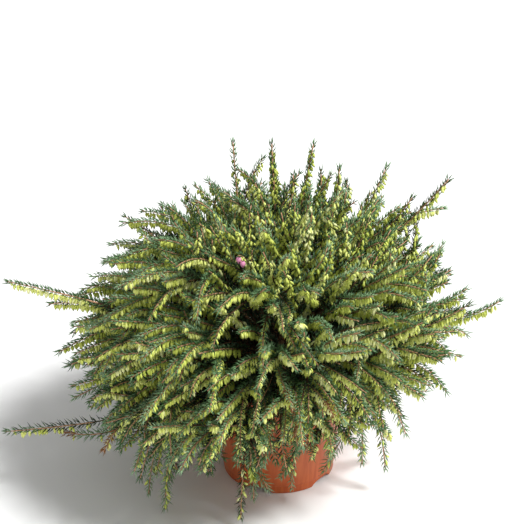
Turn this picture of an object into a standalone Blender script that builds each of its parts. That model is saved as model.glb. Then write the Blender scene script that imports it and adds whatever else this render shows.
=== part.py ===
"""A potted Darley Dale heath, a low winter heath in bud, in a 13 cm clay-coloured nursery pot.

Metres, +Z up. The origin is the centre of the pot's underside, which stands on z = 0, and the
front of the plant faces -Y. A short woody stock stands in the soil. Tapering boughs leave its
rounded head, and each ends where it meets the stem of one mass of foliage. A mass holds a dense
core and the shoots that stand out of it: a three-sided twig that opens into whorls of teeth, with
the needles standing up along its back and the buds hanging from its underside.
"""
import math
import random

import bmesh
import bpy
from mathutils import Matrix, Vector

MM = 0.001
SEED = "heath"
GAP = 0.3 * MM                      # left between two pieces that touch on the real plant
WELD = 0.002 * MM

# The pot: a 13 cm round nursery pot, measured over its rim.
POT_RIM_R = 65.0 * MM
POT_BASE_R = 53.0 * MM
POT_HEIGHT = 105.0 * MM
POT_WALL = 1.8 * MM
POT_BAND = 15.0 * MM                # height of the wider band under the rim
POT_BAND_STEP = 3.4 * MM            # how far that band stands out of the wall
POT_FLOOR = 6.5 * MM                # underside of the raised floor
POT_SKIRT = 8.0 * MM                # the base ring below the thin step in the wall
POT_PAD_R = 14.0 * MM               # the moulded cup in the middle that also stands on the ground
POT_SIDES = 30
STOCK_SIDES = 12
NOTCH_COUNT = 5                     # arched notches that leave five feet along the base ring
NOTCH_WIDTH = 25.6 * MM
NOTCH_HEIGHT = 5.6 * MM
NOTCH_FIRST = math.radians(-39.0)   # azimuth of the first notch, counted from +X towards +Y
DRAIN_R = 4.0 * MM
DRAIN_AT = 41.0 * MM

# The soil, the stock and its head, from which every bough leaves.
SOIL_TOP_Z = 95.0 * MM
STOCK_FOOT_R = 15.0 * MM
STOCK_NECK_R = 7.5 * MM
HEAD_R = 11.5 * MM
HEAD = Vector((0.0, 0.0, 124.0 * MM))
BOUGH_R = 2.3 * MM
BOUGH_TIP_R = 1.5 * MM
BOUGH_LOWEST = math.radians(-7.0)   # a lower bough would foul the pot's rim
BOUGH_BEND_AT = 0.55                # where it bends towards its mass, as a share of the distance
STEM_OUT = 2.5 * MM                 # how far a mass's stem stands out of its core
FORK_AT = 0.55                      # where the shoots fork, as a share of the core's half length

# The crown's outline: the upper half of one ellipsoid on the lower half of a flatter one.
CROWN_CENTRE = Vector((-10.0 * MM, 0.0, 142.0 * MM))
CROWN_HALF_WIDTH = 184.0 * MM
CROWN_HALF_DEPTH = 171.0 * MM
CROWN_RISE = 145.0 * MM
CROWN_DROP = 80.0 * MM
CROWN_TILT = math.radians(-15.0)    # about Y: the crown leans down to the left
FAR_OUT = 400.0 * MM                # beyond the outline in every direction
SHOOT_COUNT = 104                   # shoots spread evenly over the whole crown
TIP_SPREAD = (0.97, 1.10)           # how far out a shoot ends, against the outline
BEND_SPREAD = 0.12
HANGING_BEND = 0.35                 # a shoot of the skirt first runs level, then turns down
SKIRT_CLEAR_R = 96.0 * MM           # no shoot of the skirt ends closer to the pot's axis than this
POT_CLEAR = 1.5 * MM                # foliage keeps this far from the pot's side
GROUND_CLEAR = 2.5 * MM

# Rings of masses: name, how many, their height above the head's level and their first azimuth.
RINGS = (
    ("top", 1, 90.0, 0.0),
    ("upper", 6, 54.0, 20.0),
    ("middle", 8, 17.0, 5.0),
    ("skirt", 8, -18.0, 27.0),
)
CORE_AT = 0.53                      # a core's distance from the head, as a share of the reach
CORE_LONG = 0.225                   # its half length, as a share of the reach
CORE_WIDE = 0.225                   # its half width, as a share of the reach
CORE_SPREAD = 0.40                  # the most it may be wide, as a share of its distance
SKIRT_LONG = 0.21                   # the most a core of the skirt may be long
SKIRT_SPREAD = 0.33                 # how wide it is, as a share of its distance
CORE_LUMPS = (0.88, 1.10)           # how much the core's surface varies
CORE_FLARE = 0.5                    # how much wider a core gets outwards
TUFT_HEIGHT = 15.0 * MM             # how far a tuft stands out of its face of the core
TUFT_HEIGHTS = (0.6, 1.3)
TUFT_LEAN = 0.4                     # how much a tuft leans outwards with its mass
CELL_GAP = 0.6 * MM                 # each mass keeps this far inside its own space

# The shoots that stand out of the outline: azimuth, elevation and distance of the tip from the
# head, how the shoot bends (0 straight, above 0 level first and then turning up or down to its
# tip), and its thickness against a common one.
LONG_SHOOTS = (
    ("left", 189.5, 21.5, 266.0, -0.10, 0.9),
    ("low_left", 190.0, -13.0, 265.0, -0.45, 0.8),
    ("right", 358.0, 16.0, 210.0, 0.55, 1.0),
    ("upper_right", 8.0, 47.5, 228.0, 0.15, 1.0),
    ("top_left", 130.0, 71.0, 203.0, 0.10, 0.7),
    ("top_back", 97.0, 73.0, 196.0, 0.0, 1.0),
    ("top_right", 61.0, 71.0, 198.0, 0.0, 1.0),
    ("high_right", 26.0, 57.0, 201.0, 0.10, 1.0),
    ("trail_left", 210.5, -38.5, 180.0, 0.75, 0.7),
    ("trail_mid", 219.7, -40.5, 180.0, 0.80, 0.9),
    ("trail_front", 251.5, -46.0, 160.0, 0.60, 0.6),
    ("over_pot_left", 255.0, -49.5, 140.0, 0.70, 0.7),
    ("over_pot_right", 279.0, -55.5, 128.0, 0.90, 0.5),
    ("low_right", 333.0, -41.0, 148.0, 0.60, 0.7),
    ("low_right_star", 320.5, -40.0, 130.0, 0.50, 0.8),
    ("edge_right", 352.0, 3.0, 170.0, 0.30, 0.7),
)

# One shoot's teeth.
WHORL_STEP = 7.4 * MM
NEEDLE_LENGTH = 9.6 * MM
BUD_LENGTH = 8.2 * MM
SHOOT_CORE_R = 2.6 * MM
TWIG_R = 1.3 * MM
TWIG_ANGLES = (45, 180, 315)
LIFT = 0.38                         # how high a shoot arches, as a share of its level length
LIFT_RIGHT = 0.40                   # how much less it does so on the right
LEAN = 4.6 * MM                     # how far a tooth's tip lies towards the shoot's tip
RING_ANGLES = (45, 135, 225, 315)
TOOTH_ANGLES = (64, 116, 244, 296)  # needles stand up, buds hang
TOOTH_TURN = 9.0                    # how far a tooth strays from its angle, in degrees
TOOTH_LENGTHS = (0.86, 1.12)
TOOTH_CUTS = (1.0, 0.62)            # a tooth that would leave its space is cut once, or left out
TIP_THINNER = 0.35                  # how much thinner a shoot is at its tip
TIP_SHORTER = 0.30                  # how much shorter its teeth are there
LEAFY_FROM = 0.90                   # leaves start at this depth of the core, 1 being its surface
FEWEST_WHORLS = 3


def material(name, rgb, roughness):
    """A plain Principled material."""
    mat = bpy.data.materials.new(name)
    mat.use_nodes = True
    shader = mat.node_tree.nodes["Principled BSDF"]
    shader.inputs["Base Color"].default_value = (*rgb, 1.0)
    shader.inputs["Roughness"].default_value = roughness
    shader.inputs["Metallic"].default_value = 0.0
    mat.diffuse_color = (*rgb, 1.0)
    return mat


def mesh_object(name, bm, collection, mat=None):
    """Put a bmesh into a new object."""
    mesh = bpy.data.meshes.new(name)
    bm.to_mesh(mesh)
    bm.free()
    obj = bpy.data.objects.new(name, mesh)
    collection.objects.link(obj)
    if mat:
        mesh.materials.append(mat)
    return obj


def turned(name, profile, steps, collection, mat):
    """Turn a profile of (radius, height) points, which runs down the outer side, about Z."""
    mesh = bpy.data.meshes.new(name)
    points = [(radius, 0.0, height) for radius, height in profile]
    edges = [(i, i + 1) for i in range(len(points) - 1)]
    mesh.from_pydata(points, edges, [])
    obj = bpy.data.objects.new(name, mesh)
    collection.objects.link(obj)
    mesh.materials.append(mat)
    screw = obj.modifiers.new("turn", "SCREW")
    screw.axis = "Z"
    screw.steps = steps
    screw.render_steps = steps
    screw.use_merge_vertices = True
    screw.merge_threshold = 0.00001
    screw.use_smooth_shade = False
    return obj


def wall_radius(height):
    """The pot's outer radius at a height, from the step above the base ring to the band."""
    low = POT_BASE_R + 1.0 * MM
    high = POT_RIM_R - POT_BAND_STEP - 0.6 * MM
    return low + (high - low) * (height - POT_SKIRT) / (POT_HEIGHT - POT_BAND - POT_SKIRT)


def build_pot(collection, cutters, mat):
    """The pot: floor and cup, tapering wall, band under the rim, and notches along the base."""
    floor_top = POT_FLOOR + POT_WALL
    band_z = POT_HEIGHT - POT_BAND
    profile = [
        (0.0, POT_WALL),
        (POT_PAD_R - 2.6 * MM, POT_WALL),
        (POT_PAD_R - 1.4 * MM, floor_top),
        (wall_radius(floor_top) - POT_WALL, floor_top),
        (wall_radius(band_z) - POT_WALL, band_z + 1.6 * MM),
        (POT_RIM_R - POT_WALL - 0.9 * MM, band_z + 3.2 * MM),
        (POT_RIM_R - POT_WALL, POT_HEIGHT),
        (POT_RIM_R, POT_HEIGHT),
        (POT_RIM_R - 0.7 * MM, band_z),
        (wall_radius(band_z), band_z - 0.8 * MM),
        (wall_radius(POT_SKIRT), POT_SKIRT + 0.6 * MM),
        (POT_BASE_R + 0.2 * MM, POT_SKIRT),
        (POT_BASE_R, 0.0),
        (POT_BASE_R - 2.4 * MM, 0.0),
        (POT_BASE_R - 2.8 * MM, POT_FLOOR),
        (POT_PAD_R + 0.6 * MM, POT_FLOOR),
        (POT_PAD_R, 0.0),
        (0.0, 0.0),
    ]
    pot = turned("pot", profile, POT_SIDES, collection, mat)
    for k in range(NOTCH_COUNT):
        azimuth = NOTCH_FIRST + k * math.tau / NOTCH_COUNT
        out = Vector((math.cos(azimuth), math.sin(azimuth), 0.0))
        bpy.ops.mesh.primitive_cylinder_add(vertices=12, radius=1.0, depth=1.0)
        notch = bpy.context.object
        notch.name = f"notch_cutter_{k + 1}"
        turn = Matrix.Rotation(azimuth, 4, "Z") @ Matrix.Rotation(math.pi / 2, 4, "Y")
        size = Matrix.Diagonal((NOTCH_HEIGHT, NOTCH_WIDTH / 2, 10.0 * MM, 1.0))
        notch.data.transform(Matrix.Translation(out * POT_BASE_R) @ turn @ size)
        bpy.ops.mesh.primitive_cylinder_add(vertices=8, radius=DRAIN_R, depth=6.0 * MM)
        drain = bpy.context.object
        drain.name = f"drain_cutter_{k + 1}"
        drain.data.transform(Matrix.Translation(out * DRAIN_AT + Vector((0.0, 0.0, POT_FLOOR))))
        for cutter in (notch, drain):
            for owner in list(cutter.users_collection):
                owner.objects.unlink(cutter)
            cutters.objects.link(cutter)
            cutter.hide_render = True
            cutter.display_type = "WIRE"
            cut = pot.modifiers.new(cutter.name, "BOOLEAN")
            cut.operation = "DIFFERENCE"
            cut.solver = "EXACT"
            cut.object = cutter
    return pot


def build_soil(collection, mat):
    """The root ball: it fills the pot to a little under the band, with a low dome on top."""
    floor_top = POT_FLOOR + POT_WALL + GAP
    band_z = POT_HEIGHT - POT_BAND
    profile = [
        (0.0, SOIL_TOP_Z),
        (STOCK_FOOT_R + 8.0 * MM, SOIL_TOP_Z),
        (0.8 * POT_BASE_R, SOIL_TOP_Z - 1.2 * MM),
        (wall_radius(band_z) - POT_WALL - GAP, band_z + 0.6 * MM),
        (wall_radius(floor_top) - POT_WALL - GAP, floor_top),
        (POT_PAD_R - 1.4 * MM - GAP, floor_top),
        (POT_PAD_R - 2.6 * MM - GAP, POT_WALL + GAP),
        (0.0, POT_WALL + GAP),
    ]
    return turned("root_ball", profile, POT_SIDES, collection, mat)


def build_stock(collection, mat):
    """The stock: a flat cut on the soil, a flare, a neck and the rounded head of the boughs."""
    profile = [(0.0, HEAD.z + HEAD_R)]
    for degrees in (62, 38, 14, -10, -34):
        angle = math.radians(degrees)
        profile.append((HEAD_R * math.cos(angle), HEAD.z + HEAD_R * math.sin(angle)))
    foot = SOIL_TOP_Z + GAP
    profile += [
        (STOCK_NECK_R, HEAD.z - HEAD_R),
        (STOCK_NECK_R + 1.2 * MM, foot + 8.0 * MM),
        (STOCK_FOOT_R - 3.5 * MM, foot + 3.0 * MM),
        (STOCK_FOOT_R, foot),
        (0.0, foot),
    ]
    return turned("stock", profile, STOCK_SIDES, collection, mat)


def polar(azimuth_deg, elevation_deg):
    """The unit vector at an azimuth from +X towards +Y and an elevation."""
    azimuth = math.radians(azimuth_deg)
    elevation = math.radians(elevation_deg)
    level = math.cos(elevation)
    return Vector((level * math.cos(azimuth), level * math.sin(azimuth), math.sin(elevation)))


def crown_point(u):
    """The point of the crown's outline in the direction u, a unit vector in the crown's axes."""
    rise = CROWN_RISE if u.z > 0 else CROWN_DROP
    local = Vector((CROWN_HALF_WIDTH * u.x, CROWN_HALF_DEPTH * u.y, rise * u.z))
    return CROWN_CENTRE + Matrix.Rotation(CROWN_TILT, 3, "Y") @ local


def reach(direction):
    """How far the outline lies from the head along a direction, found by halving."""
    back = Matrix.Rotation(-CROWN_TILT, 3, "Y")
    near, far = 0.0, FAR_OUT
    for _ in range(30):
        middle = (near + far) / 2
        local = back @ (HEAD + direction * middle - CROWN_CENTRE)
        rise = CROWN_RISE if local.z > 0 else CROWN_DROP
        size = Vector((local.x / CROWN_HALF_WIDTH, local.y / CROWN_HALF_DEPTH, local.z / rise))
        if size.length > 1.0:
            far = middle
        else:
            near = middle
    return near


class Mass:
    """One mass of foliage: its space, its core, where its stem starts and its shoots' fork."""

    def __init__(self, name, direction):
        self.name = name
        self.direction = direction
        full = reach(direction)
        self.half_long = CORE_LONG * full
        self.half_wide = CORE_WIDE * full
        self.distance = CORE_AT * full
        if direction.z < 0:
            clear_of_pot = (POT_RIM_R + 2 * POT_CLEAR + self.half_long) / direction.xy.length
            self.half_long = min(self.half_long, SKIRT_LONG * full)
            self.distance = max(self.distance, clear_of_pot)
            self.half_wide = SKIRT_SPREAD * self.distance
        self.half_wide = min(self.half_wide, CORE_SPREAD * self.distance)
        self.centre = HEAD + direction * self.distance
        elevation = max(math.asin(direction.z), BOUGH_LOWEST)
        azimuth = math.atan2(direction.y, direction.x)
        self.leave = polar(math.degrees(azimuth), math.degrees(elevation))
        self.bend = HEAD + self.leave * (BOUGH_BEND_AT * self.distance)
        self.inward = (self.bend - self.centre).normalized()
        self.bough_end = self.centre + self.inward * (self.half_long + STEM_OUT)
        self.fork = self.centre + self.inward * (FORK_AT * self.half_long)
        self.planes = []

    def inside(self, point):
        """True where a point lies in this mass's space, clear of the pot and the ground."""
        if point.z < GROUND_CLEAR:
            return False
        if point.xy.length < POT_RIM_R + POT_CLEAR and point.z < POT_HEIGHT + POT_CLEAR:
            below_band = point.z < POT_HEIGHT - POT_BAND - 2 * POT_CLEAR
            wall = wall_radius(max(point.z, POT_SKIRT)) + POT_CLEAR
            if not below_band or point.xy.length < wall:
                return False
        arm = point - HEAD
        return all(arm.dot(plane) >= CELL_GAP for plane in self.planes)

    def core_depth(self, point):
        """Below 1 inside the core, 1 on its surface."""
        arm = point - self.centre
        along = arm.dot(self.direction)
        across = (arm - self.direction * along).length
        return math.hypot(along / self.half_long, across / self.half_wide)


def make_masses():
    """The rings of masses, each with the planes that part its space from its neighbours'."""
    masses = []
    for ring, count, elevation, first in RINGS:
        for k in range(count):
            name = ring if count == 1 else f"{ring}_{k + 1}"
            masses.append(Mass(name, polar(first + k * 360.0 / count, elevation)))
    for mass in masses:
        for other in masses:
            if other is not mass:
                mass.planes.append((mass.direction - other.direction).normalized())
    return masses


class Path:
    """A shoot's centre line: a quadratic curve, read by its length from the fork."""

    SAMPLES = 40

    def __init__(self, start, end, bend, lift):
        middle = (start + end) / 2
        corner = Vector((end.x, end.y, start.z))
        control = middle + (corner - middle) * bend
        control.z += lift * (end - start).xy.length
        self.points = []
        self.lengths = [0.0]
        for i in range(self.SAMPLES + 1):
            t = i / self.SAMPLES
            point = start * (1 - t) ** 2 + control * 2 * t * (1 - t) + end * t ** 2
            if self.points:
                self.lengths.append(self.lengths[-1] + (point - self.points[-1]).length)
            self.points.append(point)
        self.length = self.lengths[-1]

    def at(self, length):
        """The point and the tangent at a length."""
        i = 1
        while i < self.SAMPLES and self.lengths[i] < length:
            i += 1
        step = self.points[i] - self.points[i - 1]
        share = (length - self.lengths[i - 1]) / (self.lengths[i] - self.lengths[i - 1])
        return self.points[i - 1] + step * share, step.normalized()


def frame_of(tangent):
    """The side and the upper side of a shoot, square to its tangent."""
    side = tangent.cross(Vector((0.0, 0.0, 1.0)))
    if side.length < 0.25:
        side = Vector((1.0, 0.0, 0.0)).cross(tangent)
    side.normalize()
    return side, side.cross(tangent)


def around(centre, side, up, radius, angles):
    """Points round a centre at angles in degrees."""
    ring = []
    for degrees in angles:
        angle = math.radians(degrees)
        ring.append(centre + side * (radius * math.cos(angle)) + up * (radius * math.sin(angle)))
    return ring


def shoot_rings(mass, path, thickness, rng):
    """The rings of one shoot, or None where it would hardly leave its core.

    Three points a ring along the twig, then whorls of four points, of which two are teeth: a
    needle on one side of the back and a bud on the other side below.
    """
    start = 0.0
    while start < path.length and mass.core_depth(path.at(start)[0]) < LEAFY_FROM:
        start += 1.0 * MM
    leafy = path.length - start
    whorls = round(leafy / WHORL_STEP)
    if whorls < FEWEST_WHORLS:
        return None
    rings = []
    for share in (0.0, 0.55):
        centre, tangent = path.at(start * share)
        side, up = frame_of(tangent)
        rings.append(around(centre, side, up, TWIG_R, TWIG_ANGLES))
    core_r = SHOOT_CORE_R * (0.5 + 0.5 * thickness)
    for w in range(whorls):
        share = w / whorls
        centre, tangent = path.at(start + leafy * share)
        side, up = frame_of(tangent)
        ring = around(centre, side, up, core_r * (1.0 - TIP_THINNER * share), RING_ANGLES)
        if not all(mass.inside(point) for point in ring):
            break
        for j in ((0, 2) if w % 2 == 0 else (1, 3)):
            upper = RING_ANGLES[j] < 180
            length = (NEEDLE_LENGTH if upper else BUD_LENGTH) * thickness
            length *= (1.0 - TIP_SHORTER * share * share) * rng.uniform(*TOOTH_LENGTHS)
            lean = tangent * LEAN * (0.8 + 0.6 * share)
            angle = TOOTH_ANGLES[j] + rng.uniform(-TOOTH_TURN, TOOTH_TURN)
            for cut in TOOTH_CUTS:
                tip = around(centre + lean * cut, side, up, length * cut, (angle,))[0]
                if mass.inside(tip):
                    ring[j] = tip
                    break
        rings.append(ring)
    whorls_made = len(rings) - 2
    if whorls_made < FEWEST_WHORLS:
        return None
    end = min(path.length, start + leafy * whorls_made / whorls)
    apex = path.at(end)[0]
    if not mass.inside(apex):
        apex = sum(rings.pop(), Vector()) / 4
    rings.append([apex])
    return rings


def loft_shoot(rings):
    """Close one shoot's rings into a mesh, with each tooth a pyramid on four valleys."""
    bm = bmesh.new()
    rows = [[bm.verts.new(point) for point in ring] for ring in rings]
    bm.faces.new(reversed(rows[0]))
    whorl = 0
    for low, high in zip(rows, rows[1:]):
        if len(high) == 3:
            for j in range(3):
                bm.faces.new((low[j], low[(j + 1) % 3], high[(j + 1) % 3]))
                bm.faces.new((low[j], high[(j + 1) % 3], high[j]))
        elif len(low) == 3:
            bm.faces.new((low[0], high[1], high[0]))
            bm.faces.new((low[0], low[1], high[1]))
            bm.faces.new((low[1], high[2], high[1]))
            bm.faces.new((low[1], low[2], high[2]))
            bm.faces.new((low[2], high[3], high[2]))
            bm.faces.new((low[2], high[0], high[3]))
            bm.faces.new((low[2], low[0], high[0]))
        elif len(high) == 4:
            for j in range(4):
                after = (j + 1) % 4
                if j % 2 == whorl % 2:
                    bm.faces.new((low[j], low[after], high[j]))
                    bm.faces.new((low[after], high[after], high[j]))
                else:
                    bm.faces.new((low[j], low[after], high[after]))
                    bm.faces.new((low[j], high[after], high[j]))
            whorl += 1
        else:
            for j in range(4):
                bm.faces.new((low[j], low[(j + 1) % 4], high[0]))
    bmesh.ops.recalc_face_normals(bm, faces=bm.faces)
    return bm


def core_mesh(mass):
    """The dense inside of a mass: a lumpy ellipsoid held within the mass's space."""
    rng = random.Random(f"{SEED} core {mass.name}")
    bm = bmesh.new()
    bmesh.ops.create_icosphere(bm, subdivisions=2, radius=1.0)
    turn = mass.direction.to_track_quat("Z", "Y").to_matrix()
    for vert in bm.verts:
        lump = rng.uniform(*CORE_LUMPS)
        along = vert.co.z * mass.half_long * lump
        wide = mass.half_wide * lump * (1.0 + CORE_FLARE * along / mass.distance)
        arm = turn @ Vector((vert.co.x * wide, vert.co.y * wide, along))
        share = 1.0
        for plane in mass.planes:
            room = (mass.centre - HEAD).dot(plane) - CELL_GAP
            after = room + arm.dot(plane)
            if after < 0.0:
                share = min(share, room / (room - after))
        vert.co = mass.centre + arm * share
    bm.normal_update()
    for face in list(bm.faces):
        middle = face.calc_center_median()
        height = TUFT_HEIGHT * rng.uniform(*TUFT_HEIGHTS)
        apex = middle + (face.normal + mass.direction * TUFT_LEAN).normalized() * height
        if face.normal.dot(mass.direction) > -0.1 and mass.inside(apex):
            poked = bmesh.ops.poke(bm, faces=[face])
            poked["verts"][0].co = apex
    return bm


def stem_mesh(mass):
    """The short stem between the bough's tip and the middle of the core."""
    start = mass.bough_end - mass.inward * GAP
    length = (start - mass.fork).length
    bm = bmesh.new()
    bmesh.ops.create_cone(bm, cap_ends=True, cap_tris=True, segments=5, radius1=BOUGH_TIP_R,
                          radius2=BOUGH_TIP_R * 0.8, depth=length)
    turn = (-mass.inward).to_track_quat("Z", "Y").to_matrix().to_4x4()
    middle = start - mass.inward * (length / 2)
    bmesh.ops.transform(bm, matrix=Matrix.Translation(middle) @ turn, verts=bm.verts)
    return bm


def bend_towards(azimuth):
    """Shoots level off on the left and in front, and turn up at their tips on the right."""
    return 0.04 + 0.30 * math.cos(azimuth) + 0.06 * math.sin(azimuth)


def common_shoots(masses):
    """Tips spread evenly over the outline on a golden-angle spiral, each given to its mass."""
    shoots = []
    golden = math.pi * (3.0 - math.sqrt(5.0))
    for k in range(SHOOT_COUNT):
        rng = random.Random(f"{SEED} shoot {k}")
        height = 1.0 - 2.0 * (k + 0.5) / SHOOT_COUNT
        turn = k * golden
        level = math.sqrt(1.0 - height * height)
        edge = crown_point(Vector((level * math.cos(turn), level * math.sin(turn), height)))
        tip = HEAD + (edge - HEAD) * rng.uniform(*TIP_SPREAD)
        if tip.z < HEAD.z and tip.xy.length < SKIRT_CLEAR_R:
            continue
        arm = (tip - HEAD).normalized()
        mass = max(masses, key=lambda m: m.direction.dot(arm))
        bend = bend_towards(math.atan2(arm.y, arm.x)) + rng.uniform(-BEND_SPREAD, BEND_SPREAD)
        if arm.z < 0:
            bend = HANGING_BEND
        lift = LIFT - LIFT_RIGHT * max(0.0, arm.x)
        shoots.append((mass, tip, bend, lift, 1.0, rng))
    return shoots


def long_shoots(masses):
    """The shoots that stand out, from their named tips."""
    shoots = []
    for name, azimuth, elevation, distance, bend, thickness in LONG_SHOOTS:
        rng = random.Random(f"{SEED} {name}")
        arm = polar(azimuth, elevation)
        mass = max(masses, key=lambda m: m.direction.dot(arm))
        shoots.append((mass, HEAD + arm * distance * MM, bend, 0.0, thickness, rng))
    return shoots


def outer_shell(mesh):
    """Weld and triangulate a mesh and keep its largest shell: no scrap and no sealed hollow.

    Says whether what is left is closed.
    """
    bm = bmesh.new()
    bm.from_mesh(mesh)
    bmesh.ops.remove_doubles(bm, verts=bm.verts, dist=WELD)
    bmesh.ops.dissolve_degenerate(bm, edges=bm.edges, dist=WELD)
    bmesh.ops.triangulate(bm, faces=bm.faces, ngon_method="EAR_CLIP")
    left = set(bm.faces)
    shells = []
    while left:
        shell = {left.pop()}
        front = list(shell)
        while front:
            for edge in front.pop().edges:
                fresh = [face for face in edge.link_faces if face in left]
                left.difference_update(fresh)
                shell.update(fresh)
                front.extend(fresh)
        shells.append(shell)
    shells.sort(key=len)
    for shell in shells[:-1]:
        bmesh.ops.delete(bm, geom=list(shell), context="FACES")
    loose = [vert for vert in bm.verts if not vert.link_faces]
    bmesh.ops.delete(bm, geom=loose, context="VERTS")
    closed = all(len(edge.link_faces) == 2 for edge in bm.edges)
    bm.to_mesh(mesh)
    bm.free()
    return closed


def join_by_union(base, others):
    """Unite a base object with a collection of closed meshes, then drop the collection."""
    group = bpy.data.collections.new(base.name + " parts")
    bpy.context.scene.collection.children.link(group)
    for obj in others:
        for owner in list(obj.users_collection):
            owner.objects.unlink(obj)
        group.objects.link(obj)
    union = base.modifiers.new("union", "BOOLEAN")
    union.operation = "UNION"
    union.operand_type = "COLLECTION"
    union.collection = group
    for solver in ("EXACT", "MANIFOLD"):
        union.solver = solver
        bpy.context.view_layer.update()
        evaluated = base.evaluated_get(bpy.context.evaluated_depsgraph_get())
        joined = bpy.data.meshes.new_from_object(evaluated)
        if outer_shell(joined):
            break
    base.modifiers.clear()
    old = base.data
    base.data = joined
    bpy.data.meshes.remove(old)
    for obj in others:
        mesh = obj.data
        bpy.data.objects.remove(obj)
        bpy.data.meshes.remove(mesh)
    bpy.data.collections.remove(group)


def build_bough(mass, collection, mat):
    """One tapering limb from the head's surface to the mass's stem."""
    start = HEAD + mass.leave * (HEAD_R + GAP)
    curve = bpy.data.curves.new("bough_" + mass.name, "CURVE")
    curve.dimensions = "3D"
    curve.bevel_depth = BOUGH_R
    curve.bevel_resolution = 1
    curve.use_fill_caps = True
    spline = curve.splines.new("POLY")
    count = 4
    spline.points.add(count - 1)
    for i in range(count):
        t = i / (count - 1)
        along = start * (1 - t) ** 2 + mass.bend * 2 * t * (1 - t) + mass.bough_end * t ** 2
        spline.points[i].co = (*along, 1.0)
        spline.points[i].radius = 1.0 + (BOUGH_TIP_R / BOUGH_R - 1.0) * t
    curve.materials.append(mat)
    obj = bpy.data.objects.new("bough_" + mass.name, curve)
    collection.objects.link(obj)
    return obj


def build_masses(masses, collection, mat):
    """Each mass: core, stem and shoots in one closed mesh."""
    shoots = common_shoots(masses) + long_shoots(masses)
    for mass in masses:
        base = mesh_object("foliage_" + mass.name, core_mesh(mass), collection, mat)
        others = [mesh_object("stem", stem_mesh(mass), collection)]
        for owner, tip, bend, lift, thickness, rng in shoots:
            if owner is not mass:
                continue
            path = Path(mass.fork, tip, bend, lift)
            rings = shoot_rings(mass, path, thickness, rng)
            if rings:
                others.append(mesh_object("shoot", loft_shoot(rings), collection))
        join_by_union(base, others)
        base.data.materials.clear()
        base.data.materials.append(mat)


def main():
    """Clear the scene and build the potted plant."""
    for obj in list(bpy.data.objects):
        bpy.data.objects.remove(obj)
    plant = bpy.data.collections.new("potted_darley_dale_heath")
    cutters = bpy.data.collections.new("cutters")
    bpy.context.scene.collection.children.link(plant)
    bpy.context.scene.collection.children.link(cutters)

    clay = material("clay_coloured_plastic", (0.40, 0.10, 0.035), 0.5)
    peat = material("peat_soil", (0.035, 0.022, 0.014), 0.95)
    bark = material("heath_bark", (0.16, 0.085, 0.045), 0.85)
    needles = material("heath_foliage", (0.11, 0.20, 0.07), 0.6)

    build_pot(plant, cutters, clay)
    build_soil(plant, peat)
    build_stock(plant, bark)
    masses = make_masses()
    for mass in masses:
        build_bough(mass, plant, bark)
    build_masses(masses, plant, needles)


main()
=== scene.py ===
# %% Load the frame
import math
import random

import bpy
import numpy as np
from mathutils import Matrix, Vector


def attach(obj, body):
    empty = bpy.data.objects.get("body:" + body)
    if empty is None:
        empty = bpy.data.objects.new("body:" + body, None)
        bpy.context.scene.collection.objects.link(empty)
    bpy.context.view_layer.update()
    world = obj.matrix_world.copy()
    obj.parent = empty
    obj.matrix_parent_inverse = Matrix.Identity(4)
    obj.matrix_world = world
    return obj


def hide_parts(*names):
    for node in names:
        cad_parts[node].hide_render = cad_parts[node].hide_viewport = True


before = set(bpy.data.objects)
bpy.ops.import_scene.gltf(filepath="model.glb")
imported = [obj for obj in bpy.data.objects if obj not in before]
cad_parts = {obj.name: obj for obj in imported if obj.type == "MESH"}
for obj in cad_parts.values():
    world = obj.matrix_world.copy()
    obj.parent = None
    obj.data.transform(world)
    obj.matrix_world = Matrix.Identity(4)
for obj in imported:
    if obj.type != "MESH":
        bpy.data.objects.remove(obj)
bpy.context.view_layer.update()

MM = 0.001
print("nodes in the frame:", len(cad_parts))

# %% [markdown]
# A Darley Dale heath is a low winter heath. This one stands in bud in a clay-coloured nursery pot.
# The frame holds its solids at their real size. The scene dresses them: a moulded pot, peat, bark
# with relief, and a crown of shoots that carry whorls of needles on their backs and a fringe of
# pointed buds below. Everything is worked out as arrays, so that half a million needle faces take
# seconds and not minutes.

# %% Mesh from arrays
UP = np.array((0.0, 0.0, 1.0))


def unit(v):
    """Each row divided by its length."""
    return v / np.linalg.norm(v, axis=-1, keepdims=True)


def mesh_piece(name, points, faces, materials, slots=None):
    """Put an (n, 3) array of points and an (m, k) array of faces into a new smooth object."""
    mesh = bpy.data.meshes.new(name)
    count, size = faces.shape
    mesh.vertices.add(len(points))
    mesh.vertices.foreach_set("co", points.astype(np.float32).ravel())
    mesh.loops.add(count * size)
    mesh.loops.foreach_set("vertex_index", faces.astype(np.int32).ravel())
    mesh.polygons.add(count)
    mesh.polygons.foreach_set("loop_start", np.arange(count, dtype=np.int32) * size)
    for material in materials:
        mesh.materials.append(material)
    if slots is not None:
        mesh.polygons.foreach_set("material_index", slots.astype(np.int32))
    mesh.polygons.foreach_set("use_smooth", np.ones(count, dtype=bool))
    mesh.update(calc_edges=True)
    obj = bpy.data.objects.new(name, mesh)
    bpy.context.scene.collection.objects.link(obj)
    return obj


def dress(obj, slot, *nodes):
    """The piece rides on the one body and stands for the nodes named. Its slot is not used."""
    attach(obj, "root")
    if nodes:
        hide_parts(*nodes)
    print(obj.name, len(obj.data.polygons), "faces")


# %% [markdown]
# Colours are read from sRGB hex values and turned to linear light, which the shader needs. One
# small function adds a node with its settings and links, and the pot, peat and bark materials use
# it.

# %% Colours and nodes
def linear(hex_code):
    """Each channel c: c / 12.92 up to 0.04045, and ((c + 0.055) / 1.055) to the 2.4 above."""
    values = [int(hex_code[i:i + 2], 16) / 255 for i in (1, 3, 5)]
    lit = [c / 12.92 if c <= 0.04045 else ((c + 0.055) / 1.055) ** 2.4 for c in values]
    return (*lit, 1.0)


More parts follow.
